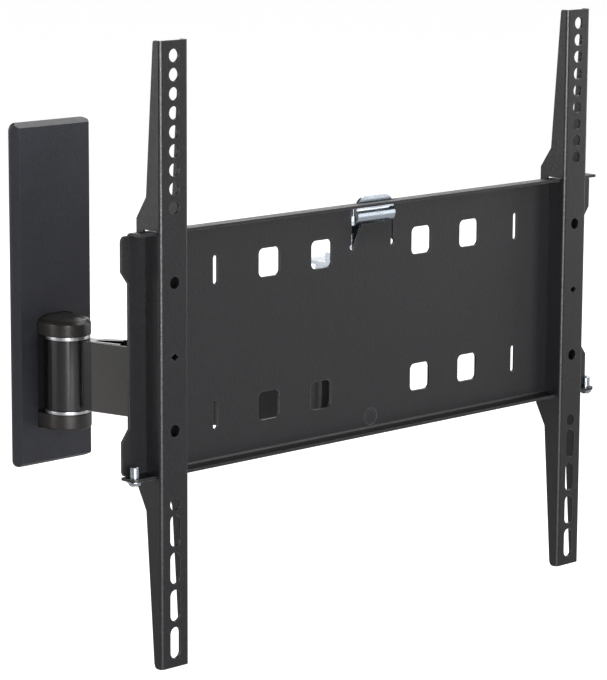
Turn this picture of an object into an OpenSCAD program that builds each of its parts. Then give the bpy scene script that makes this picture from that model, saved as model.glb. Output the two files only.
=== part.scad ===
// Full motion wall mount for a flat screen, in millimetres.
// The wall is the plane Y = 0. The screen side faces -Y and Z points up.
// The origin is the centre of the wall plate's back face.

/* [Wall side] */
// Wall plate width
wall_plate_w = 66; // [60:1:68]
// Wall plate height
wall_plate_h = 250; // [240:1:252]
// Cover width
cover_w = 75; // [72:1:84]
// Cover height
cover_h = 264; // [256:1:280]
// Distance between the screw holes, across
wall_hole_x = 44; // [36:1:46]
// Distance between the screw holes, up
wall_hole_z = 222; // [216:1:228]
// Screw hole diameter in the wall plate
wall_hole_d = 7; // [5:0.5:8]

/* [Hinges and arm] */
// Arm length, hinge axis to hinge axis
arm_len = 225; // [200:5:300]
// Arm angle from straight out, as drawn
arm_angle = 16.5; // [-30:0.1:30]
// Height of the arm's sheet and of the hinge barrels
barrel_h = 54; // [50:1:58]
// Hinge barrel diameter
barrel_d = 33.4; // [32:0.2:34]
// Hinge pin diameter
pin_d = 12; // [10:0.5:12]
// Height of the hinges' middle, from the wall plate's middle
hinge_z = -59.6; // [-62:0.1:-54]

/* [Screen plate] */
// Width between the plate's end ears
plate_w = 466; // [460:2:480]
// Plate height over its flanges
plate_h = 166; // [162:1:170]
// Sheet thickness of the plate
plate_t = 2; // [1.8:0.1:2.2]
// Depth of the plate's flanges
flange_d = 13.3; // [12.5:0.1:13.6]
// Square window size
window_s = 20; // [16:1:22]

/* [Screen strips] */
// Hole pattern width, strip to strip
vesa_w = 400; // [300:50:400]
// Hole pattern height
vesa_h = 400; // [400:50:400]
// Strip length
strip_len = 420; // [418:1:430]
// Strip width
strip_w = 25; // [23:1:27]
// Extra strip length below the slots
strip_foot = 3.1; // [2:0.1:4]
// Sheet thickness of a strip
strip_t = 2; // [1.6:0.1:2.2]
// Screw hole diameter in a strip
strip_hole_d = 8.8; // [8:0.1:9]

/* [Tilt] */
// Tilt bolt diameter
tilt_bolt_d = 8; // [6:0.5:8]
// Height of the tilt bolt below the middle of the hole pattern
tilt_drop = 20; // [16:1:22]

/* [Hidden] */

black = [0.09, 0.09, 0.095];
dark = [0.14, 0.135, 0.13];
grey = [0.20, 0.20, 0.21];
zinc = [0.80, 0.81, 0.82];
nylon = [0.88, 0.87, 0.83];

axis_y = 22;                 // wall to hinge axis
cover_d = 8.5;
cover_edge = 3.5;
plate_thick = 3;
ring_r = 17.3;
ring_h = 2.6;
cap_r = 18;
cap_wall = 1.8;
// cap outlines, half width and height from the ring
cap_up = [[cap_r, 0], [cap_r, 9.4], [cap_r - 2, 12.2], [cap_r - 9, 14.4]];
cap_lo = [[cap_r, 0], [cap_r, 10.8], [cap_r - 1.4, 12.2]];
function both(p, g) = concat([for (q = p) [q[0] + g, q[1] > 0 ? q[1] + g : 0]],
                             [for (i = [len(p) - 1 : -1 : 0]) [-p[i][0] - g, p[i][1] > 0 ? p[i][1] + g : 0]]);
lug_t = 5;
lug_r = 14.6;
gap = 0.3;
hz0 = hinge_z - barrel_h / 2;
hz1 = hinge_z + barrel_h / 2;
bush_r = 10;
fit_gap = 0.05;
pin_r = pin_d / 2;

// Screen side frame: origin at the middle of the hole pattern, on the strips' front face.
face_to_axis = 61;
dz = 9.4;
fx = arm_len * sin(arm_angle);
fy = -axis_y - arm_len * cos(arm_angle);
dx = fx;
dy = fy - face_to_axis;

py = 15;                     // front face of the plate
pc = 1.5;                    // middle height of the plate
pt = pc + plate_h / 2;
pb = pc - plate_h / 2;
bend_r = 4;                  // outer bend radius
top_w = plate_w - 12;        // length of the top flange
strip_off = vesa_w / 2;
tilt_y = 31;
tilt_z = -tilt_drop;
yoke_front = 39.3;
yoke_t = 4;
cheek_x = 21.5;
cheek_t = 4;
wing_x = 27.5;
wing_t = 2.5;
base_y = py + plate_t;       // back face of the plate
base_t = 2.5;
pitch = 12.5;

module on_wall() { translate([0, -axis_y, 0]) children(); }
module on_arm() { translate([0, -axis_y, 0]) rotate([0, 0, arm_angle]) children(); }
module on_front() { translate([fx, fy, 0]) children(); }
module on_screen() { translate([dx, dy, dz]) children(); }

// A solid drawn in Y and Z and pushed along X, centred on X = 0.
module along_x(w) { rotate([90, 0, 90]) translate([0, 0, -w / 2]) linear_extrude(height = w) children(); }
// A solid drawn in X and Z and pushed along +Y from y0.
module along_y(y0, d) { translate([0, y0 + d, 0]) rotate([90, 0, 0]) linear_extrude(height = d) children(); }

module round_rect(w, h, r) {
    square([w - 2 * r, h], center = true);
    square([w, h - 2 * r], center = true);
    for (sx = [-1, 1], sz = [-1, 1]) translate([sx * (w / 2 - r), sz * (h / 2 - r)]) circle(r = r, $fn = 32);
}

module slot_2d(w, l) {
    square([w, l - w], center = true);
    for (s = [-1, 1]) translate([0, s * (l - w) / 2]) circle(d = w, $fn = 32);
}

module disc(r, z0, h, fn = 64) { translate([0, 0, z0]) cylinder(r = r, h = h, $fn = fn); }

// ------------------------------------------------------------------ wall side
module wall_plate() color(black) difference() {
    along_y(-plate_thick, plate_thick) round_rect(wall_plate_w, wall_plate_h, 5);
    for (sx = [-1, 1], sz = [-1, 1])
        translate([sx * wall_hole_x / 2, 1, sz * wall_hole_z / 2]) rotate([90, 0, 0])
            cylinder(d = wall_hole_d, h = plate_thick + 2, $fn = 40);
    // lightening windows
    along_y(-plate_thick - 1, plate_thick + 2) translate([0, 55]) round_rect(30, 60, 6);
}

module lug(z) difference() {
    union() {
        translate([0, -axis_y, z]) cylinder(r = lug_r, h = lug_t, $fn = 64);
        translate([-lug_r, -axis_y, z]) cube([2 * lug_r, axis_y - plate_thick, lug_t]);
    }
    translate([0, -axis_y, z - 1]) cylinder(r = pin_r + fit_gap, h = lug_t + 2, $fn = 48);
}

module wall_lugs() color(dark) {
    lug(hz1 + gap + ring_h);
    lug(hz0 - gap - ring_h - lug_t);
}

cap_top_z = hz1 + gap + ring_h;
cap_bot_z = hz0 - gap - ring_h;

// Cover outline with a sloping edge all round, pulled in by g.
module cover_blank(g) {
    w = cover_w / 2 - g;
    h = cover_h / 2 - g;
    d = cover_d - g;
    e = cover_edge;
    intersection() {
        along_x(cover_w + 2) polygon([[0, -h], [0, h], [-2, h], [-d, h - e], [-d, -h + e], [-2, -h]]);
        translate([0, 0, -cover_h / 2 - 1]) linear_extrude(height = cover_h + 2)
            polygon([[-w, 0], [w, 0], [w, -2], [w - e, -d], [-w + e, -d], [-w, -2]]);
    }
}

module wall_cover() color(black) difference() {
    intersection() {
        cover_blank(0);
        along_y(-cover_d - 1, cover_d + 2) round_rect(cover_w, cover_h, 6);
    }
    // hollow back, less two posts that sit on the wall plate
    difference() {
        translate([0, 1, 0]) cover_blank(2);
        for (z = [-118, 100]) along_y(-cover_d, cover_d - plate_thick - gap) translate([0, z]) square([16, 4], center = true);
    }
    // opening for the hinge
    along_y(-cover_d - 1, cover_d + 2) {
        translate([0, cap_top_z]) polygon(both(cap_up, 0.4));
        translate([0, cap_bot_z]) mirror([0, 1]) polygon(both(cap_lo, 0.4));
        translate([-cap_r - 0.4, cap_bot_z - 1]) square([2 * cap_r + 0.8, cap_top_z - cap_bot_z + 2]);
    }
}

// D shaped hinge cap, standing on the ring. room is the height of the hollow inside.
module d_cap(p, room) {
    d = axis_y - plate_thick - gap;
    difference() {
        union() {
            rotate_extrude($fn = 96) polygon(concat([[0, 0]], p, [[0, p[len(p) - 1][1]]]));
            along_y(0, d) polygon(both(p, 0));
        }
        translate([0, 0, -1]) cylinder(r = cap_r - cap_wall, h = room + 1, $fn = 64);
        translate([-cap_r + cap_wall, 0, -1]) cube([2 * (cap_r - cap_wall), d + 1, room + 1]);
    }
}

module cap_upper() color(dark) translate([0, -axis_y, cap_top_z]) d_cap(cap_up, 9.8);
module cap_lower() color(dark) translate([0, -axis_y, cap_bot_z]) mirror([0, 0, 1]) d_cap(cap_lo, 10.2);

module ring(z) difference() {
    translate([0, 0, z]) cylinder(r = ring_r, h = ring_h, $fn = 96);
    translate([0, 0, z - 1]) cylinder(r = pin_r + fit_gap, h = ring_h + 2, $fn = 48);
}
module ring_upper() color(zinc) on_wall() ring(hz1 + gap);
module ring_lower() color(zinc) on_wall() ring(hz0 - gap - ring_h);

module hinge_pin(lz1, lz0) {
    // head on the upper lug, plain shank down through the lower one, threaded end below
    disc(pin_r, lz0 - 4.5, lz1 - lz0 + 4.5);
    disc(pin_r + 3.2, lz1, 3.6);
}
module hinge_nut(lz0) difference() {
    translate([0, 0, lz0 - 4.2]) cylinder(r = 10, h = 4.2, $fn = 6);
    disc(pin_r + 0.04, lz0 - 6, 7);
}
lug_hi = hz1 + gap + ring_h + lug_t;
lug_lo = hz0 - gap - ring_h - lug_t;
module wall_pin() color(zinc) on_wall() hinge_pin(lug_hi, lug_lo);
module wall_pin_nut() color(zinc) on_wall() hinge_nut(lug_lo);

// ------------------------------------------------------------------ arm
// Drawn along -Y from the wall hinge axis, then turned.
sheet_t = 3;
neck = 4;                    // half width at the wall end
full = barrel_d / 2;         // half width at the front end

// tongue between the barrel and the arm's sheets
tongue_y = 24.6;
module wall_barrel() color(dark) on_arm() {
    difference() {
        union() {
            translate([0, 0, hz0]) cylinder(d = barrel_d, h = barrel_h, $fn = 96);
            translate([0, 0, hz0 + 0.4]) linear_extrude(height = barrel_h - 0.8)
                polygon([[-4.2, -12], [10.6, -12], [10.6, -tongue_y], [8.6, -tongue_y], [15, -42], [11.8, -42], [5.4, -tongue_y], [0.9, -tongue_y],
                         [0.9, -48], [-2.3, -48], [-2.3, -tongue_y], [-4.2, -tongue_y]]);
        }
        translate([0, 0, hz0 - 1]) cylinder(r = bush_r + 0.02, h = barrel_h + 2, $fn = 64);
    }
}

function near_out(y) = -(neck + (full - neck) * -y / arm_len);
function far_out(y) = full + 2 * (1 - (-y - 60) / (arm_len - 60));
sheet_end = -arm_len + 12;
module arm_solid() difference() {
    translate([0, 0, hz0 + 0.4]) linear_extrude(height = barrel_h - 0.8) children();
    // underside rising to the front hinge
    along_x_from(-60, 120) polygon([[-62, hz0 - 2], [-62, hz0 + 0.32], [sheet_end - 2, hz0 + 6.7], [sheet_end - 2, hz0 - 2]]);
}
sheet_y = tongue_y + 0.3;            // wall end of the sheets

flare_y = -43.5;                     // end of the far sheet's flare
far_in = 8.8;                        // inner face of the far sheet at its wall end
// -X side, straight from the neck to the front
module arm_sheet_near() color(grey) on_arm() arm_solid()
    polygon([[near_out(-sheet_y), -sheet_y], [near_out(sheet_end), sheet_end], [near_out(sheet_end) + sheet_t, sheet_end], [near_out(-sheet_y) + sheet_t, -sheet_y]]);
// +X side, flared out near the neck and then straight
module arm_sheet_far() color(grey) on_arm() arm_solid()
    polygon([[far_in + 3.2, -sheet_y], [far_out(flare_y), flare_y], [far_out(sheet_end), sheet_end], [far_out(sheet_end) - sheet_t, sheet_end],
             [far_out(flare_y) - sheet_t, flare_y - 0.54], [far_in, -sheet_y]]);
module arm_spacers() color(dark) on_arm() for (y = [-84, -arm_len + 64], z = [hz0 + 12, hz1 - 12]) {
    l = near_out(y) + sheet_t + 0.5;
    r = far_out(y) - sheet_t - 0.3;
    translate([l, y, z]) rotate([0, 90, 0]) cylinder(d = 9, h = r - l, $fn = 40);
}

lug_w = 0.05;
fz0 = hz0 + 7;                // underside of the lower front lug
module front_lug(z) difference() {
    union() {
        translate([0, -arm_len, z]) cylinder(r = 16.2, h = lug_t, $fn = 64);
        translate([0, 0, z]) linear_extrude(height = lug_t) polygon([
            [near_out(-arm_len + 42) + sheet_t + lug_w, -arm_len + 42], [far_out(-arm_len + 42) - sheet_t - lug_w, -arm_len + 42],
            [far_out(-arm_len) - sheet_t - lug_w, -arm_len], [near_out(-arm_len) + sheet_t + lug_w, -arm_len]]);
    }
    translate([0, -arm_len, z - 1]) cylinder(r = pin_r + fit_gap, h = lug_t + 2, $fn = 48);
}
module front_lugs() color(dark) on_arm() {
    front_lug(hz1 - 0.4 - lug_t);
    front_lug(fz0);
}
washer_t = 1.2;
fb0 = fz0 + lug_t + washer_t + gap;    // ends of the front barrel
fb1 = hz1 - 0.4 - lug_t - washer_t - gap;
module front_washers() color(zinc) on_arm() for (z = [fz0 + lug_t, hz1 - 0.4 - lug_t - washer_t]) difference() {
    translate([0, -arm_len, z]) cylinder(r = 15.5, h = washer_t, $fn = 64);
    translate([0, -arm_len, z - 1]) cylinder(r = pin_r + fit_gap, h = washer_t + 2, $fn = 48);
}
// low headed pin, held in the arm's lugs
module front_pin() color(zinc) on_arm() translate([0, -arm_len, 0]) difference() {
    union() {
        disc(pin_r, fz0, hz1 - 0.4 - fz0);
        disc(9.5, hz1 - 0.4, 1.6);
        translate([0, 0, hz1 + 1.2]) cylinder(r1 = 9.5, r2 = 8.7, h = 0.8, $fn = 64);
    }
    translate([0, 0, hz1 - 1.6]) cylinder(r = 3.5, h = 5, $fn = 6);
}

bush_h = 15;
module bush(z) difference() {
    translate([0, 0, z]) cylinder(r = bush_r, h = bush_h, $fn = 64);
    translate([0, 0, z - 1]) cylinder(r = pin_r + fit_gap, h = bush_h + 2, $fn = 48);
}
module wall_bushes() color(nylon) on_arm() {
    bush(hz0 + 0.1);
    bush(hz1 - bush_h - 0.1);
}
module front_bushes() color(nylon) on_front() {
    bush(fb0 + 0.1);
    bush(fb1 - bush_h - 0.1);
}

// ------------------------------------------------------------------ swivel head
module front_barrel() color(dark) on_front() difference() {
    translate([0, 0, fb0]) cylinder(d = barrel_d, h = fb1 - fb0, $fn = 96);
    translate([0, 0, fb0 - 1]) cylinder(r = bush_r + 0.02, h = fb1 - fb0 + 2, $fn = 64);
}
module cheek(x0) difference() {
    along_x_from(x0, cheek_t) {
        translate([tilt_y, tilt_z]) circle(r = 10.5, $fn = 64);
        translate([tilt_y, tilt_z - 10.5]) square([yoke_front - tilt_y + 1, 21]);
    }
    translate([x0 - 1, tilt_y, tilt_z]) rotate([0, 90, 0]) cylinder(r = tilt_bolt_d / 2 + 0.05, h = cheek_t + 2, $fn = 48);
}
module along_x_from(x0, w) translate([x0, 0, 0]) rotate([90, 0, 90]) linear_extrude(height = w) children();

module swivel_yoke() color(dark) on_screen() union() {
    // web in front of the barrel
    translate([-cheek_x - cheek_t, yoke_front, fb0 - dz]) cube([2 * (cheek_x + cheek_t), yoke_t, tilt_z + 10.5 - fb0 + dz]);
    // block welded to the barrel
    difference() {
        translate([-9, yoke_front + yoke_t - 0.5, fb0 - dz]) cube([18, 6, fb1 - fb0]);
        translate([0, face_to_axis, fb0 - dz - 1]) cylinder(d = barrel_d, h = fb1 - fb0 + 2, $fn = 96);
    }
    cheek(cheek_x);
    cheek(-cheek_x - cheek_t);
}

// ------------------------------------------------------------------ tilt
tb_r = tilt_bolt_d / 2;
module tilt_bolt() color(zinc) on_screen() translate([0, tilt_y, tilt_z]) rotate([0, 90, 0]) {
    translate([0, 0, -wing_x - wing_t - 1.8]) cylinder(r = tb_r, h = 2 * (wing_x + wing_t) + 10.5, $fn = 48);
    translate([0, 0, -wing_x - wing_t - 1.7 - 5.3]) cylinder(r = 7.5, h = 5.3, $fn = 6);
}
module tilt_nut() color(zinc) on_screen() translate([wing_x + wing_t + 1.7, tilt_y, tilt_z]) rotate([0, 90, 0]) difference() {
    union() {
        cylinder(r = 7.5, h = 5, $fn = 6);
        translate([0, 0, 5]) cylinder(r = 5.8, h = 1.8, $fn = 48);
    }
    translate([0, 0, -1]) cylinder(r = tb_r + 0.04, h = 9, $fn = 48);
}
module tilt_washer(x, t, r) translate([x, tilt_y, tilt_z]) rotate([0, 90, 0]) difference() {
    cylinder(r = r, h = t, $fn = 64);
    translate([0, 0, -1]) cylinder(r = tb_r + 0.05, h = t + 2, $fn = 48);
}
module tilt_washers() color(nylon) on_screen() {
    tilt_washer(cheek_x + cheek_t + 0.1, 1.8, 9);
    tilt_washer(-cheek_x - cheek_t - 1.9, 1.8, 9);
    tilt_washer(wing_x + wing_t + 0.05, 1.6, 8);
    tilt_washer(-wing_x - wing_t - 1.65, 1.6, 8);
}

// ------------------------------------------------------------------ tilt bracket and hook
rivet_z = pc - 72.5;
shelf_z = 43;
module tilt_bracket() color(zinc) on_screen() difference() {
    union() {
        // base against the plate
        along_y(base_y, base_t) {
            translate([0, (pc - 80 + shelf_z) / 2]) round_rect(72, shelf_z - (pc - 80), 6);
            translate([-18.5, 20]) square([37, 42]);
        }
        // side wings with the tilt holes
        for (s = [-1, 1]) along_x_from(s > 0 ? wing_x : -wing_x - wing_t, wing_t)
            difference() {
                translate([base_y + base_t - 0.5, -40]) square([23, shelf_z + 39.5]);
                translate([base_y + base_t + 8, -41]) rotate([0, 0, -50]) square([30, 16]);
            }
        // top shelf
        translate([-36, base_y + base_t - 0.5, shelf_z - 2.5]) cube([72, 29, 2.5]);
        // turned up ear on the shelf
        translate([-36, base_y + base_t - 0.5, shelf_z - 1]) cube([2.2, 7, 8]);
    }
    for (s = [-1, 1]) translate([s > 0 ? wing_x - 1 : -wing_x - wing_t - 1, tilt_y, tilt_z]) rotate([0, 90, 0])
        cylinder(r = tb_r + 0.05, h = wing_t + 2, $fn = 48);
    // window behind the middle of the plate
    along_y(base_y - 1, base_t + 2) translate([0, 2]) round_rect(38, 40, 6);
    translate([0, base_y - 1, rivet_z]) rotate([-90, 0, 0]) cylinder(r = 4.05, h = base_t + 2, $fn = 48);
    for (s = [-1, 1]) translate([s * 11, base_y - 1, 54]) rotate([-90, 0, 0]) cylinder(r = 2.54, h = base_t + 2, $fn = 32);
}

// Hook: behind the base, forward through the plate's opening, down in a roll and up in front as a tip.
hook_w = 37;
hook_t = 2.2;
roll_r = 6.6;
roll_z = pt - 9.6;
roll_y = py + 2.2;
hook_front = roll_y - roll_r;
tip_y = roll_y - 4.67;           // front face of the tip
tip_z = pt + 4.1;
tip_r = 9.5;
module hook_clip() color(zinc) on_screen() difference() {
    union() {
    along_x_from(-hook_w / 2, hook_w) {
        // back leaf
        translate([base_y + base_t + 0.05, shelf_z + 0.3]) square([hook_t, roll_z - roll_r + hook_t - shelf_z - 4.3]);
        // bend from the back leaf to the passage through the opening
        translate([base_y + base_t + 0.05 - 2, roll_z - roll_r + hook_t - 4]) intersection() {
            difference() { circle(r = 2 + hook_t, $fn = 48); circle(r = 2, $fn = 48); }
            square(10);
        }
        translate([roll_y, roll_z - roll_r]) square([base_y + base_t + 0.05 - 2 - roll_y, hook_t]);
        // roll in front
        translate([roll_y, roll_z]) intersection() {
            difference() { circle(r = roll_r, $fn = 96); circle(r = roll_r - hook_t, $fn = 96); }
            translate([-20, -20]) square([20, 20]);
        }
        // belly above the middle of the roll, then the tip a little further back
        translate([roll_y, roll_z]) intersection() {
            difference() { circle(r = roll_r, $fn = 96); circle(r = roll_r - hook_t, $fn = 96); }
            polygon([[0, -0.01], [-20, -0.01], [-20, 20]]);
        }
        polygon([[tip_y, roll_z + roll_y - tip_y], [roll_y - 3.11, roll_z + 3.11], [tip_y + hook_t, roll_z + 3.9], [tip_y + hook_t, tip_z], [tip_y, tip_z]]);
    }
        // closed ends of the roll
        for (s = [-1, 1]) along_x_from(s > 0 ? hook_w / 2 - 1.8 : -hook_w / 2, 1.8) {
            intersection() {
                translate([roll_y, roll_z]) circle(r = roll_r - 0.2, $fn = 96);
                translate([0, roll_z - 10]) square([py + 0.3, 20]);
            }
            translate([tip_y + 0.3, roll_z - 1]) square([py + 0.3 - tip_y - 0.3, 7]);
        }
    }
    // rounded tip corners
    for (s = [-1, 1]) translate([s * (hook_w / 2 - tip_r), hook_front - 1, tip_z - tip_r]) difference() {
        translate([s > 0 ? 0 : -tip_r - 1, 0, 0]) cube([tip_r + 1, 8, tip_r + 1]);
        translate([0, -1, 0]) rotate([-90, 0, 0]) cylinder(r = tip_r, h = 10, $fn = 64);
    }
    for (s = [-1, 1]) translate([s * 11, base_y + base_t - 1, 54]) rotate([-90, 0, 0]) cylinder(r = 2.54, h = hook_t + 3, $fn = 32);
}
module hook_rivets() color(zinc) on_screen() for (s = [-1, 1]) translate([s * 11, 0, 54]) {
    translate([0, base_y + 0.1, 0]) rotate([-90, 0, 0]) cylinder(r = 2.5, h = base_t + hook_t + 0.3, $fn = 48);
    translate([0, base_y + base_t + hook_t + 0.1, 0]) rotate([-90, 0, 0]) cylinder(r = 4.4, h = 1.5, $fn = 48);
}

// ------------------------------------------------------------------ plate
// Channel section of the plate in Y and Z.
module channel() {
    r = bend_r;
    i = bend_r - plate_t;
    f = py + plate_t - flange_d;          // front of the flanges
    translate([py, pb + r]) square([plate_t, plate_h - 2 * r]);
    translate([f, pt - plate_t]) square([py + plate_t - r - f, plate_t]);
    translate([f, pb]) square([py + plate_t - r - f, plate_t]);
    translate([py + plate_t - r, pt - r]) intersection() {
        difference() { circle(r = r, $fn = 64); circle(r = i, $fn = 64); }
        square(10);
    }
    translate([py + plate_t - r, pb + r]) intersection() {
        difference() { circle(r = r, $fn = 64); circle(r = i, $fn = 64); }
        translate([0, -10]) square(10);
    }
}

// End ear outline, for the +X end. The strip clears the middle.
module ear() {
    x1 = plate_w / 2;
    x0 = x1 - 12;
    xm = x1 - 8.5;
    r = 4;
    for (s = [-1, 1]) {
        zt = s * (plate_h / 2 - 2.2);
        translate([0, pc]) difference() {
            polygon([[x0, 0], [xm, 0], [xm, s * 45.5], [x1, s * 57], [x1, zt - s * r], [x1 - r, zt - s * r], [x1 - r, zt], [x0, zt]]);
            translate([x0 - 1, s > 0 ? plate_h / 2 - bend_r - 0.4 : -plate_h / 2 + bend_r + 0.4 - 6]) square([6.2, 6]);
        }
        translate([x1 - r, pc + zt - s * r]) circle(r = r, $fn = 40);
    }
}
tab_z0 = pc + 49.5;
tab_h = 19.5;
tab_lean = 4.4;
module display_plate() color(black) on_screen() union() {
    difference() {
        union() {
            along_x(top_w) channel();
            along_y(py, plate_t) { ear(); mirror([1, 0]) ear(); }
            // the lower flange runs on under the ears
            for (s = [-1, 1]) translate([s > 0 ? top_w / 2 - 0.5 : -plate_w / 2 + 0.3, py + plate_t - flange_d, pb])
                cube([(plate_w - top_w) / 2 + 0.2, flange_d, plate_t]);
        }
        // square windows
        for (x = [-100, -50, 50, 100], z = [-50, 50]) along_y(py - 1, plate_t + 2) translate([x, pc + z]) round_rect(window_s, window_s, 4);
        // narrow slots
        for (x = [-150, 150], z = [-50, 50]) along_y(py - 1, plate_t + 2) translate([x, pc + z]) slot_2d(4.4, window_s);
        // opening for the hook, cut across the upper bend
        along_y(py - 1, plate_t + 2) {
            translate([-20.8, tab_z0]) square([41.6, 75 - tab_z0]);
            translate([-19.2, 74]) square([38.4, pt - 73]);
            for (s = [-1, 1]) translate([s * 20.6, tab_z0 + 2.2]) circle(r = 1.9, $fn = 32);
        }
        translate([-19.2, hook_front - 1.2, pt - 8]) cube([38.4, 20, 10]);
        // hole for the lower fixing
        translate([0, py - 1, rivet_z]) rotate([-90, 0, 0]) cylinder(r = 4.05, h = plate_t + 2, $fn = 48);
        translate([0, py - 0.01, rivet_z]) rotate([-90, 0, 0]) cylinder(r1 = 6.55, r2 = 4.05, h = 1.2, $fn = 48);
        // rounded ends of the lower flange
        for (s = [-1, 1]) translate([s * (plate_w / 2 - 5.8), py + plate_t - flange_d + 5.5, pb - 1]) linear_extrude(height = plate_t + 2) difference() {
            translate([s > 0 ? 0 : -7, -7]) square(7);
            circle(r = 5.5, $fn = 48);
        }
        // holes for the stop screws
        for (s = [-1, 1]) translate([s * (plate_w / 2 - 5.5), 9.5, pb - 1]) cylinder(r = 3.05, h = plate_t + 2, $fn = 40);
    }
    // lanced tab, leaning forward at the top
    translate([0, py, tab_z0 - 0.6]) rotate([atan(tab_lean / tab_h), 0, 0])
        along_y(0, plate_t) polygon([[-18.5, 0], [18.5, 0], [14.8, tab_h], [-14.8, tab_h]]);
}

module plate_rivet() color(black) on_screen() translate([0, py, rivet_z]) rotate([-90, 0, 0]) {
    translate([0, 0, 0.1]) cylinder(r1 = 6.3, r2 = 4, h = 1.1, $fn = 48);
    cylinder(r = 4, h = plate_t + base_t + 0.1, $fn = 48);
    translate([0, 0, plate_t + base_t + 0.05]) cylinder(r = 5.4, h = 1.2, $fn = 48);
}

module stop_screws() color(zinc) on_screen() for (s = [-1, 1]) translate([s * (plate_w / 2 - 5.5), 9.5, 0]) difference() {
    union() {
        translate([0, 0, pb - 3.2]) cylinder(r = 3, h = 5.4 + plate_t, $fn = 48);
        translate([0, 0, pb + plate_t + 0.05]) cylinder(r = 3.2, h = 7.2, $fn = 48);
        translate([0, 0, pb + plate_t + 7.2]) cylinder(r1 = 3.2, r2 = 2.5, h = 0.8, $fn = 48);
    }
    translate([0, 0, pb + plate_t + 5]) cylinder(r = 1.75, h = 5, $fn = 6);
}
module stop_nuts() color(zinc) on_screen() for (s = [-1, 1]) translate([s * (plate_w / 2 - 5.5), 9.5, pb]) difference() {
    union() {
        translate([0, 0, -0.95]) cylinder(r = 5, h = 0.9, $fn = 64);
        translate([0, 0, -2.6]) cylinder(r = 4.4, h = 1.7, $fn = 6);
    }
    translate([0, 0, -6]) cylinder(r = 3.04, h = 8, $fn = 40);
}

// ------------------------------------------------------------------ strips
// Outline of the parts of the flanges that are cut away, in Y and Z.
wide = 24;
zb = -strip_len / 2 - strip_foot;    // lower end of the strips
module flange_cut() {
    // above and below the wide middle
    polygon([[7, strip_len / 2 + 1], [7, strip_len / 2], [14.2, 106.8], [wide, 92], [wide, 91], [40, 91], [40, strip_len / 2 + 1]]);
    polygon([[7.4, zb - 1], [7.4, zb], [15.2, -105.2], [wide, -89], [wide, -88], [40, -88], [40, zb - 1]]);
    // rounded corners at the ends
    translate([5.5, strip_len / 2 - 1.5]) difference() { square(3); circle(r = 1.5, $fn = 32); }
    translate([4.4, zb + 3]) difference() { translate([0, -5]) square(5); circle(r = 3, $fn = 32); }
    // channel of the plate, with clearance
    translate([3.1, pt - plate_t - gap]) square([py + plate_t + 0.35 - 3.1, plate_t + 0.75]);
    translate([3.1, pb - gap]) square([py + plate_t + 0.35 - 3.1, plate_t + 2 * gap]);
    translate([py - gap, pb]) square([plate_t + 0.65, plate_h]);
    // relief for the plate's bends
    polygon([[12.5, pt - 2.2], [14.8, pt - 2.2], [14.8, pt - 4.5]]);
    polygon([[12.5, pb + 2.2], [14.8, pb + 2.2], [14.8, pb + 4.5]]);
    // open back between the hooks
    translate([py + plate_t - 1, -60]) square([30, 122]);
}

slot_l = 21.9;
slot_step = 25.9;
slot_z = -118.35;                    // middle of the uppermost slot
module strip(x) difference() {
    translate([x, 0, zb]) linear_extrude(height = strip_len + strip_foot) difference() {
        union() {
            translate([-strip_w / 2, 2.6]) square([strip_w, wide - 2.6]);
            translate([-strip_w / 2 + 2.6, 0]) square([strip_w - 5.2, 3]);
            for (s = [-1, 1]) translate([s * (strip_w / 2 - 2.6), 2.6]) circle(r = 2.6, $fn = 48);
        }
        translate([-strip_w / 2 + strip_t, strip_t]) square([strip_w - 2 * strip_t, wide]);
    }
    translate([x, 0, 0]) along_x(strip_w + 2) flange_cut();
    // round holes
    for (k = [0:8]) translate([x, -1, vesa_h / 2 - pitch * k]) rotate([-90, 0, 0]) cylinder(d = strip_hole_d, h = strip_t + 2, $fn = 48);
    for (k = [12, 20]) translate([x, -1, vesa_h / 2 - pitch * k]) rotate([-90, 0, 0]) cylinder(d = 8.4, h = strip_t + 2, $fn = 48);
    translate([x, -1, vesa_h / 2 - pitch * 24]) rotate([-90, 0, 0]) cylinder(d = strip_hole_d, h = strip_t + 2, $fn = 48);
    // diamond mark at the middle
    translate([x, -1, 0]) rotate([-90, 0, 0]) linear_extrude(height = strip_t + 2) polygon([[-3.5, 0], [0, 2.6], [3.5, 0], [0, -2.6]]);
    // slots
    for (k = [0:3]) translate([x, -1, slot_z - slot_step * k]) rotate([-90, 0, 0]) {
        for (s = [-1, 1]) translate([0, s * (slot_l - strip_hole_d) / 2, 0]) cylinder(d = strip_hole_d, h = strip_t + 2, $fn = 48);
        translate([-strip_hole_d / 2, -(slot_l - strip_hole_d) / 2, 0]) cube([strip_hole_d, slot_l - strip_hole_d, strip_t + 2]);
    }
}
module strip_left() color(black) on_screen() strip(-strip_off);
module strip_right() color(black) on_screen() strip(strip_off);

wall_plate();
wall_lugs();
wall_cover();
cap_upper();
cap_lower();
ring_upper();
ring_lower();
wall_pin();
wall_pin_nut();
wall_barrel();
arm_sheet_near();
arm_sheet_far();
arm_spacers();
front_lugs();
front_washers();
front_barrel();
wall_bushes();
front_bushes();
swivel_yoke();
front_pin();
tilt_bolt();
tilt_nut();
tilt_washers();
tilt_bracket();
hook_clip();
hook_rivets();
display_plate();
plate_rivet();
stop_screws();
stop_nuts();
strip_left();
strip_right();
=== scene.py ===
import bpy
import math
from mathutils import Vector, Matrix


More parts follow.
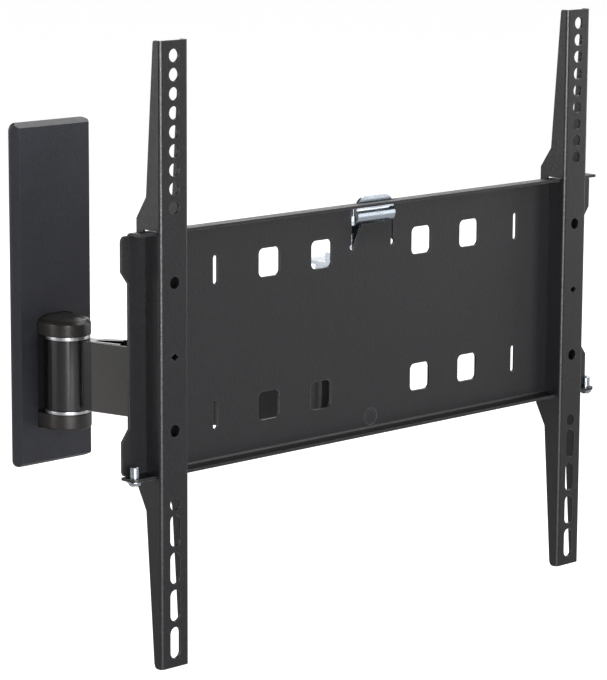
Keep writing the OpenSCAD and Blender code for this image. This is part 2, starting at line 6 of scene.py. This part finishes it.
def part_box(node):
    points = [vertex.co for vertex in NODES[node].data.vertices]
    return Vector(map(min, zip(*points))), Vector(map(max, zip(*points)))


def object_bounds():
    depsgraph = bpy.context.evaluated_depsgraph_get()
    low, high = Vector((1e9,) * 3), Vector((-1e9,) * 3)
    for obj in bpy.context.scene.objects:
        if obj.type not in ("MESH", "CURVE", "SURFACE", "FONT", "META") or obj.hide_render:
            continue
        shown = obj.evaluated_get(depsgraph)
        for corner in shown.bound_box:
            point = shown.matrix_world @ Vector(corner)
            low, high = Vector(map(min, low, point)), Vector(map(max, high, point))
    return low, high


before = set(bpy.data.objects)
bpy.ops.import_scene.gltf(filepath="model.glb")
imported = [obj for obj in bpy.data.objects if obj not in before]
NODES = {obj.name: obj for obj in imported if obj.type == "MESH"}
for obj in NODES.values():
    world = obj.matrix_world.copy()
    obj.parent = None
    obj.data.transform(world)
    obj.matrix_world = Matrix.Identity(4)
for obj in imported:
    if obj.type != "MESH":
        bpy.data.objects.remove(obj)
CAD_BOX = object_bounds()
scene = bpy.context.scene


# ---------------------------------------------------------------- node helpers
class Shader:
    """A material built from nodes, with short calls for the parts used below."""

    def __init__(self, name):
        self.mat = bpy.data.materials.new(name)
        self.mat.use_nodes = True
        self.nt = self.mat.node_tree
        self.nt.nodes.clear()
        self.out = self.nt.nodes.new("ShaderNodeOutputMaterial")
        self.bsdf = self.nt.nodes.new("ShaderNodeBsdfPrincipled")
        self.nt.links.new(self.bsdf.outputs[0], self.out.inputs[0])
        self.tc = self.nt.nodes.new("ShaderNodeTexCoord")
        self.pos = self.tc.outputs["Object"]

    def node(self, kind, **sets):
        n = self.nt.nodes.new(kind)
        for k, v in sets.items():
            setattr(n, k, v)
        return n

    def link(self, a, b):
        self.nt.links.new(a, b)

    def put(self, socket, value):
        if isinstance(value, bpy.types.NodeSocket):
            self.link(value, socket)
        else:
            socket.default_value = value

    def set(self, name, value):
        self.put(self.bsdf.inputs[name], value)

    def mapping(self, scale=(1, 1, 1), rot=(0, 0, 0), vec=None, loc=(0, 0, 0)):
        n = self.node("ShaderNodeMapping")
        n.inputs["Scale"].default_value = scale
        n.inputs["Rotation"].default_value = rot
        n.inputs["Location"].default_value = loc
        self.link(vec or self.pos, n.inputs["Vector"])
        return n.outputs[0]

    def noise(self, scale, detail=2.0, rough=0.5, vec=None, distortion=0.0, dims="3D"):
        n = self.node("ShaderNodeTexNoise", noise_dimensions=dims)
        n.inputs["Scale"].default_value = scale
        n.inputs["Detail"].default_value = detail
        n.inputs["Roughness"].default_value = rough
        n.inputs["Distortion"].default_value = distortion
        self.link(vec or self.pos, n.inputs["Vector"])
        return n.outputs["Fac"]

    def voronoi(self, scale, vec=None, feature="F1", rand=1.0, out="Distance"):
        n = self.node("ShaderNodeTexVoronoi", feature=feature)
        n.inputs["Scale"].default_value = scale
        n.inputs["Randomness"].default_value = rand
        self.link(vec or self.pos, n.inputs["Vector"])
        return n.outputs[out]

    def math(self, op, a, b=0.0, c=None, clamp=False):
        n = self.node("ShaderNodeMath", operation=op, use_clamp=clamp)
        self.put(n.inputs[0], a)
        self.put(n.inputs[1], b)
        if c is not None:
            self.put(n.inputs[2], c)
        return n.outputs[0]

    def remap(self, v, a, b, lo, hi):
        n = self.node("ShaderNodeMapRange", clamp=True)
        self.put(n.inputs["Value"], v)
        for k, x in (("From Min", a), ("From Max", b), ("To Min", lo), ("To Max", hi)):
            n.inputs[k].default_value = x
        return n.outputs[0]

    def mix(self, fac, a, b, mode="MIX"):
        n = self.node("ShaderNodeMix", data_type="RGBA", blend_type=mode, clamp_result=False)
        self.put(n.inputs["Factor"], fac)
        for key, v in (("A", a), ("B", b)):
            s = [i for i in n.inputs if i.name == key and i.type == "RGBA"][0]
            if isinstance(v, bpy.types.NodeSocket):
                self.link(v, s)
            else:
                s.default_value = (*v, 1.0) if len(v) == 3 else v
        return [o for o in n.outputs if o.type == "RGBA"][0]

    def bump(self, height, strength, distance, normal=None):
        n = self.node("ShaderNodeBump")
        n.inputs["Strength"].default_value = strength
        n.inputs["Distance"].default_value = distance
        self.link(height, n.inputs["Height"])
        if normal is not None:
            self.link(normal, n.inputs["Normal"])
        return n.outputs[0]

    def edge(self, radius, samples=4):
        """About 0 on flat areas, rising at corners within radius."""
        bev = self.node("ShaderNodeBevel", samples=samples)
        bev.inputs["Radius"].default_value = radius
        geo = self.node("ShaderNodeNewGeometry")
        d = self.node("ShaderNodeVectorMath", operation="DOT_PRODUCT")
        self.link(bev.outputs[0], d.inputs[0])
        self.link(geo.outputs["Normal"], d.inputs[1])
        return self.remap(self.math("SUBTRACT", 1.0, d.outputs["Value"]), 0.02, 0.25, 0.0, 1.0)


def srgb(r, g, b):
    def f(c):
        c = c / 255.0
        return c / 12.92 if c <= 0.04045 else ((c + 0.055) / 1.055) ** 2.4
    return (f(r), f(g), f(b))


# ---------------------------------------------------------------- materials
def powder(name, dark, light, rough=0.46, grain=1300.0, bump=0.75, coat=0.0, edge_wear_and_highlight_tone=srgb(120, 120, 124), painted_shade_y=None):
    """Powder coat: an orange peel skin with a fine speckle, paler along edges, partly as a thin worn coat and
    partly as a painted highlight.
    """
    s = Shader(name)
    fine = s.noise(grain, 2.0, 0.55)
    mid = s.noise(grain * 0.35, 2.0, 0.5)
    cloud = s.noise(14.0, 3.0, 0.6)
    specks = s.remap(s.voronoi(grain * 0.55), 0.02, 0.20, 1.0, 0.0)
    tone = s.remap(fine, 0.32, 0.68, 0.0, 1.0)
    col = s.mix(tone, dark, light)
    drift = s.remap(cloud, 0.3, 0.7, 0.0, 0.30)
    col = s.mix(drift, col, [c * 0.80 for c in dark])
    speck_on = s.math("MULTIPLY", specks, s.remap(s.noise(grain * 0.5, 0.0), 0.52, 0.62, 0.0, 0.55))
    col = s.mix(speck_on, col, [min(1.0, c * 2.6) for c in light])
    if painted_shade_y:
        # painted shade: the coat is darkened and made less glossy between two places along Y, darkest at the first
        # and gone by the second, standing in for the display plate's shadow on the front of the arm
        xyz = s.node("ShaderNodeSeparateXYZ")
        s.link(s.pos, xyz.inputs[0])
        near = s.remap(xyz.outputs["Y"], painted_shade_y[0], painted_shade_y[1], 1.0, 0.0)
        col = s.mix(s.math("MULTIPLY", near, 0.85), col, [c * 0.25 for c in dark])
        s.set("Specular IOR Level", s.remap(near, 0.0, 1.0, 0.5, 0.22))
    # paler edges: partly real wear of a thin coat, partly a painted highlight where edges catch the light
    e = s.edge(0.0007)
    wear_and_highlight_mask = s.math("MULTIPLY", e, s.remap(s.noise(160.0, 3.0, 0.6), 0.35, 0.7, 0.10, 0.55))
    col = s.mix(wear_and_highlight_mask, col, edge_wear_and_highlight_tone)
    s.set("Base Color", col)
    r = s.remap(s.noise(grain * 0.22, 2.0, 0.6), 0.3, 0.7, rough - 0.05, rough + 0.06)
    r = s.math("ADD", r, s.remap(cloud, 0.3, 0.7, -0.02, 0.03))
    r = s.math("SUBTRACT", r, s.math("MULTIPLY", e, 0.06))
    s.set("Roughness", r)
    h = s.math("ADD", s.math("MULTIPLY", mid, 0.7), s.math("MULTIPLY", fine, 0.3))
    s.set("Normal", s.bump(h, bump, 0.00022))
    if coat:
        s.bsdf.inputs["Coat Weight"].default_value = coat
        s.bsdf.inputs["Coat Roughness"].default_value = 0.22
    return s.mat


def moulded(name, dark, light, rough=0.5, grain=2600.0, bump=0.35, cell=900.0):
    """Grained plastic moulding: shallow pebbled texture with soft mottling."""
    s = Shader(name)
    pebble = s.voronoi(cell, feature="SMOOTH_F1")
    fine = s.noise(grain, 2.0, 0.6)
    cloud = s.noise(22.0, 4.0, 0.6)
    col = s.mix(s.remap(fine, 0.3, 0.7, 0.0, 1.0), dark, light)
    col = s.mix(s.remap(cloud, 0.3, 0.7, 0.0, 0.35), col, [c * 0.75 for c in dark])
    e = s.edge(0.0009)
    # painted highlight: edges are lightened towards a brighter tone
    col = s.mix(s.math("MULTIPLY", e, 0.25), col, [min(1.0, c * 2.2) for c in light])
    s.set("Base Color", col)
    r = s.remap(fine, 0.3, 0.7, rough - 0.05, rough + 0.07)
    r = s.math("SUBTRACT", r, s.math("MULTIPLY", e, 0.10))
    s.set("Roughness", r)
    h = s.math("ADD", s.math("MULTIPLY", pebble, 0.6), s.math("MULTIPLY", fine, 0.4))
    s.set("Normal", s.bump(h, bump, 0.00020))
    return s.mat


def zinc(name, base, rough=0.26, brush=None, mottle=1.0, tint=(0.80, 0.86, 0.93)):
    """Bright zinc plate: faint spangle in tone and gloss, and hair lines where brush is given."""
    s = Shader(name)
    spangle = s.voronoi(420.0, out="Color")
    bw = s.node("ShaderNodeRGBToBW")
    s.link(spangle, bw.inputs[0])
    cloud = s.noise(70.0, 4.0, 0.65)
    col = s.mix(s.remap(bw.outputs[0], 0.2, 0.8, 0.0, 0.22 * mottle), base, [a * b for a, b in zip(base, tint)])
    col = s.mix(s.remap(cloud, 0.35, 0.75, 0.0, 0.30 * mottle), col, [c * 0.72 for c in base])
    e = s.edge(0.0005)
    # painted highlight: edges are brightened
    col = s.mix(s.math("MULTIPLY", e, 0.35), col, [min(1.0, c * 1.2) for c in base])
    s.set("Base Color", col)
    s.bsdf.inputs["Metallic"].default_value = 1.0
    r = s.remap(cloud, 0.3, 0.7, rough - 0.06, rough + 0.09)
    h = s.noise(900.0, 2.0, 0.5)
    if brush:
        lines = s.noise(1.0, 3.0, 0.6, vec=s.mapping(scale=brush))
        r = s.math("ADD", r, s.remap(lines, 0.3, 0.7, -0.05, 0.07))
        h = s.math("ADD", s.math("MULTIPLY", h, 0.4), s.math("MULTIPLY", lines, 0.8))
    s.set("Roughness", r)
    s.set("Normal", s.bump(h, 0.18, 0.00005))
    return s.mat


def turned(name, base, rough, scale_z=5200.0, metallic=1.0, bump=0.15, level=0.5):
    """Metal or lacquer turned on a lathe: fine rings across Z."""
    s = Shader(name)
    rings = s.noise(1.0, 3.0, 0.7, vec=s.mapping(scale=(12.0, 12.0, scale_z)))
    cloud = s.noise(60.0, 3.0, 0.6)
    col = s.mix(s.remap(rings, 0.3, 0.7, 0.0, 1.0), [c * 0.86 for c in base], [min(1.0, c * 1.12) for c in base])
    col = s.mix(s.remap(cloud, 0.35, 0.7, 0.0, 0.25), col, [c * 0.75 for c in base])
    e = s.edge(0.0006)
    # painted highlight: edges are brightened
    col = s.mix(s.math("MULTIPLY", e, 0.35), col, [min(1.0, c * 1.5 + 0.02) for c in base])
    s.set("Base Color", col)
    s.bsdf.inputs["Metallic"].default_value = metallic
    s.bsdf.inputs["Specular IOR Level"].default_value = level
    s.set("Roughness", s.remap(rings, 0.3, 0.7, rough - 0.04, rough + 0.05))
    s.set("Normal", s.bump(rings, bump, 0.00004))
    return s.mat


def nylon(name, base):
    s = Shader(name)
    cloud = s.noise(240.0, 4.0, 0.6)
    fine = s.noise(2400.0, 2.0, 0.5)
    col = s.mix(s.remap(cloud, 0.3, 0.7, 0.0, 1.0), base, [c * 0.86 for c in base])
    s.set("Base Color", col)
    s.set("Roughness", s.remap(fine, 0.3, 0.7, 0.38, 0.5))
    s.bsdf.inputs["Subsurface Weight"].default_value = 0.15
    s.bsdf.inputs["Subsurface Radius"].default_value = (0.002, 0.0018, 0.0014)
    s.set("Normal", s.bump(fine, 0.15, 0.00005))
    return s.mat


M = {
    "strip": powder("strip_powder", srgb(10, 10, 12), srgb(27, 27, 30), rough=0.36),
    "plate": powder("plate_powder", srgb(11, 11, 13), srgb(25, 25, 28), rough=0.42),
    # the arm carries painted shade towards the front hinge, where the display plate shadows it
    "arm": powder("arm_powder", srgb(56, 54, 53), srgb(76, 74, 72), rough=0.38, grain=2000.0, bump=0.3, painted_shade_y=(-0.17, -0.08)),
    "bracket": powder("bracket_powder", srgb(26, 25, 25), srgb(38, 37, 36), rough=0.40),
    "barrel": turned("barrel_lacquer", srgb(16, 16, 17), 0.18, metallic=0.0, bump=0.05, level=0.9),
    "cover": moulded("cover_plastic", srgb(26, 27, 32), srgb(50, 51, 59), rough=0.38, grain=1500.0, bump=0.6, cell=1100.0),
    "cap": moulded("cap_plastic", srgb(36, 34, 33), srgb(52, 49, 47), rough=0.34, grain=3200.0),
    "ring": turned("ring_steel", srgb(214, 215, 218), 0.32, bump=0.2),
    "zinc": zinc("zinc_plate", srgb(190, 196, 203)),
    "hook": zinc("hook_zinc", srgb(200, 209, 219), rough=0.22, brush=(2200.0, 60.0, 60.0)),
    "screw": zinc("screw_zinc", srgb(190, 196, 203), rough=0.22),
    "nylon": nylon("bush_nylon", srgb(226, 223, 212)),
}
LOOK = {
    "wall_plate": "bracket", "wall_lugs": "bracket", "wall_cover": "cover", "cap_upper": "cap", "cap_lower": "cap",
    "ring_upper": "ring", "ring_lower": "ring", "wall_pin": "screw", "wall_pin_nut": "screw",
    "wall_barrel": "barrel", "wall_bushes": "nylon", "arm_sheet_near": "arm", "arm_sheet_far": "arm",
    "arm_spacers": "bracket", "front_lugs": "bracket", "front_washers": "screw", "front_pin": "screw",
    "front_barrel": "barrel", "front_bushes": "nylon", "swivel_yoke": "bracket", "tilt_bolt": "screw",
    "tilt_nut": "screw", "tilt_washers": "nylon", "tilt_bracket": "zinc", "hook_clip": "hook",
    "hook_rivets": "screw", "display_plate": "plate", "plate_rivet": "plate", "stop_screws": "screw",
    "stop_nuts": "screw", "strip_left": "strip", "strip_right": "strip",
}
# rounding of each piece's edges, in millimetres
ROUND = {
    "wall_plate": 0.5, "wall_lugs": 0.6, "wall_cover": 0.7, "cap_upper": 0.7, "cap_lower": 0.7,
    "ring_upper": 0.25, "ring_lower": 0.25, "wall_pin": 0.4, "wall_pin_nut": 0.5,
    "wall_barrel": 0.4, "wall_bushes": 0.3, "arm_sheet_near": 0.35, "arm_sheet_far": 0.35,
    "arm_spacers": 0.3, "front_lugs": 0.5, "front_washers": 0.25, "front_pin": 0.3,
    "front_barrel": 0.4, "front_bushes": 0.3, "swivel_yoke": 0.6, "tilt_bolt": 0.5,
    "tilt_nut": 0.4, "tilt_washers": 0.25, "tilt_bracket": 0.3, "hook_clip": 0.35,
    "hook_rivets": 0.4, "display_plate": 0.3, "plate_rivet": 0.3, "stop_screws": 0.25,
    "stop_nuts": 0.25, "strip_left": 0.3, "strip_right": 0.3,
}


def finish_cad(name, obj):
    """Gives a CAD node its material and softly rounded edges."""
    obj.data.materials.clear()
    obj.data.materials.append(M[LOOK[name]])
    w = obj.modifiers.new("weld", "WELD")
    w.merge_threshold = 0.000002
    d = obj.modifiers.new("flats", "DECIMATE")
    d.decimate_type = "DISSOLVE"
    d.angle_limit = math.radians(0.4)
    b = obj.modifiers.new("edges", "BEVEL")
    b.width = ROUND[name] / 1000.0
    b.segments = 2
    b.limit_method = "ANGLE"
    b.angle_limit = math.radians(28)
    b.use_clamp_overlap = True
    b.harden_normals = False
    b.miter_outer = "MITER_ARC"
    n = obj.modifiers.new("shading", "WEIGHTED_NORMAL")
    n.keep_sharp = False
    n.weight = 70
    for p in obj.data.polygons:
        p.use_smooth = True


for name, obj in NODES.items():
    finish_cad(name, obj)

# ---------------------------------------------------------------- camera
# The view is fixed by the middle of the strips' faces and a camera distance.
lo_l, hi_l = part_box("strip_left")
lo_r, hi_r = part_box("strip_right")
screen_o = Vector(((lo_l.x + hi_r.x) / 2, min(lo_l.y, lo_r.y), hi_l.z - 0.210))
AZ, EL, ROLL = math.radians(-43.9697236), math.radians(10.5922534), math.radians(0.303122)
back = Vector((math.sin(AZ) * math.cos(EL), -math.cos(AZ) * math.cos(EL), math.sin(EL)))
right = Vector((math.cos(AZ), math.sin(AZ), 0.0))
up = back.cross(right)
r2 = right * math.cos(ROLL) + up * math.sin(ROLL)
u2 = -right * math.sin(ROLL) + up * math.cos(ROLL)
cam_data = bpy.data.cameras.new("camera")
cam = bpy.data.objects.new("camera", cam_data)
scene.collection.objects.link(cam)
cam_data.sensor_width = 36.0
cam_data.lens = 3047.42234 / 680.0 * 36.0
cam_data.clip_start = 0.05
cam_data.clip_end = 60.0
place = screen_o + (r2 * -58.860313 + u2 * -13.3001932 + back * 2155.73061) / 1000.0
cam.matrix_world = Matrix((
    (r2.x, u2.x, back.x, place.x),
    (r2.y, u2.y, back.y, place.y),
    (r2.z, u2.z, back.z, place.z),
    (0, 0, 0, 1)))
scene.camera = cam

# ---------------------------------------------------------------- floor and light
lo, hi = CAD_BOX
FLOOR_Z = lo.z - 0.10
FLOOR_TONE = 0.45
ROOM = 0.04


def floor_piece():
    """A pale sweep: near white to the camera, an ordinary matt floor to everything else."""
    me = bpy.data.meshes.new("floor")
    s = 14.0
    me.from_pydata([(-s, -s, FLOOR_Z), (s, -s, FLOOR_Z), (s, s, FLOOR_Z), (-s, s, FLOOR_Z)], [], [(0, 1, 2, 3)])
    o = bpy.data.objects.new("floor", me)
    scene.collection.objects.link(o)
    sh = Shader("floor_pale")
    cloud = sh.remap(sh.noise(3.0, 3.0), 0.3, 0.7, 0.0, 1.0)
    sh.set("Base Color", sh.mix(cloud, (FLOOR_TONE - 0.02,) * 3, (FLOOR_TONE + 0.02,) * 3))
    sh.bsdf.inputs["Roughness"].default_value = 0.9
    sh.bsdf.inputs["Specular IOR Level"].default_value = 0.1
    seen = sh.node("ShaderNodeLightPath").outputs["Is Camera Ray"]
    glow = sh.node("ShaderNodeEmission")
    glow.inputs["Color"].default_value = (1, 1, 1, 1)
    glow.inputs["Strength"].default_value = 0.97
    both = sh.node("ShaderNodeAddShader")
    sh.link(sh.bsdf.outputs[0], both.inputs[0])
    sh.link(glow.outputs[0], both.inputs[1])
    pick = sh.node("ShaderNodeMixShader")
    sh.link(seen, pick.inputs[0])
    sh.link(sh.bsdf.outputs[0], pick.inputs[1])
    sh.link(both.outputs[0], pick.inputs[2])
    sh.link(pick.outputs[0], sh.out.inputs[0])
    me.materials.append(sh.mat)


floor_piece()

world = bpy.data.worlds.new("studio")
scene.world = world
world.use_nodes = True
bg = world.node_tree.nodes["Background"]
bg.inputs[0].default_value = (1.0, 1.0, 1.0, 1.0)
bg.inputs[1].default_value = ROOM


def area(name, az, el, dist, size, radiance, aim=(0, 0, 0), colour=(1, 1, 1)):
    """A rectangular soft box facing the middle of the piece; azimuth 0 is in front of the screen side."""
    d = bpy.data.lights.new(name, "AREA")
    d.shape = "RECTANGLE"
    d.size, d.size_y = size
    d.energy = radiance * math.pi * size[0] * size[1]
    d.color = colour
    o = bpy.data.objects.new(name, d)
    scene.collection.objects.link(o)
    az, el = math.radians(az), math.radians(el)
    to = (CAD_BOX[0] + CAD_BOX[1]) / 2 + Vector(aim)
    at = to + Vector((math.sin(az) * math.cos(el), -math.cos(az) * math.cos(el), math.sin(el))) * dist
    o.location = at
    o.rotation_mode = "QUATERNION"
    o.rotation_quaternion = (to - at).to_track_quat("-Z", "Y")
    return o


area("key_left_soft", -35, 5, 2.4, (0.8, 1.2), 18.0)
area("key_right_soft", -20, 5, 2.4, (0.8, 1.2), 10.8)
area("back_left_soft", -120, 5, 2.4, (1.6, 1.2), 2.7)
area("right_soft", 75, 5, 2.4, (0.8, 1.2), 3.5)
area("front_right_soft", 45, 5, 2.4, (0.8, 1.2), 1.5)
area("high_front_soft", 35, 40, 2.4, (1.2, 1.0), 3.8)
area("high_back_soft", 130, 40, 2.4, (1.2, 1.0), 3.5)
area("back_right_soft", 138, 9, 2.6, (1.6, 0.9), 1.6)
area("high_right_soft", 76, 44, 2.4, (1.3, 1.1), 3.0)
area("back_soft", -162, 22, 2.6, (1.6, 1.2), 1.6)

scene.view_settings.view_transform = "Standard"
scene.view_settings.look = "None"
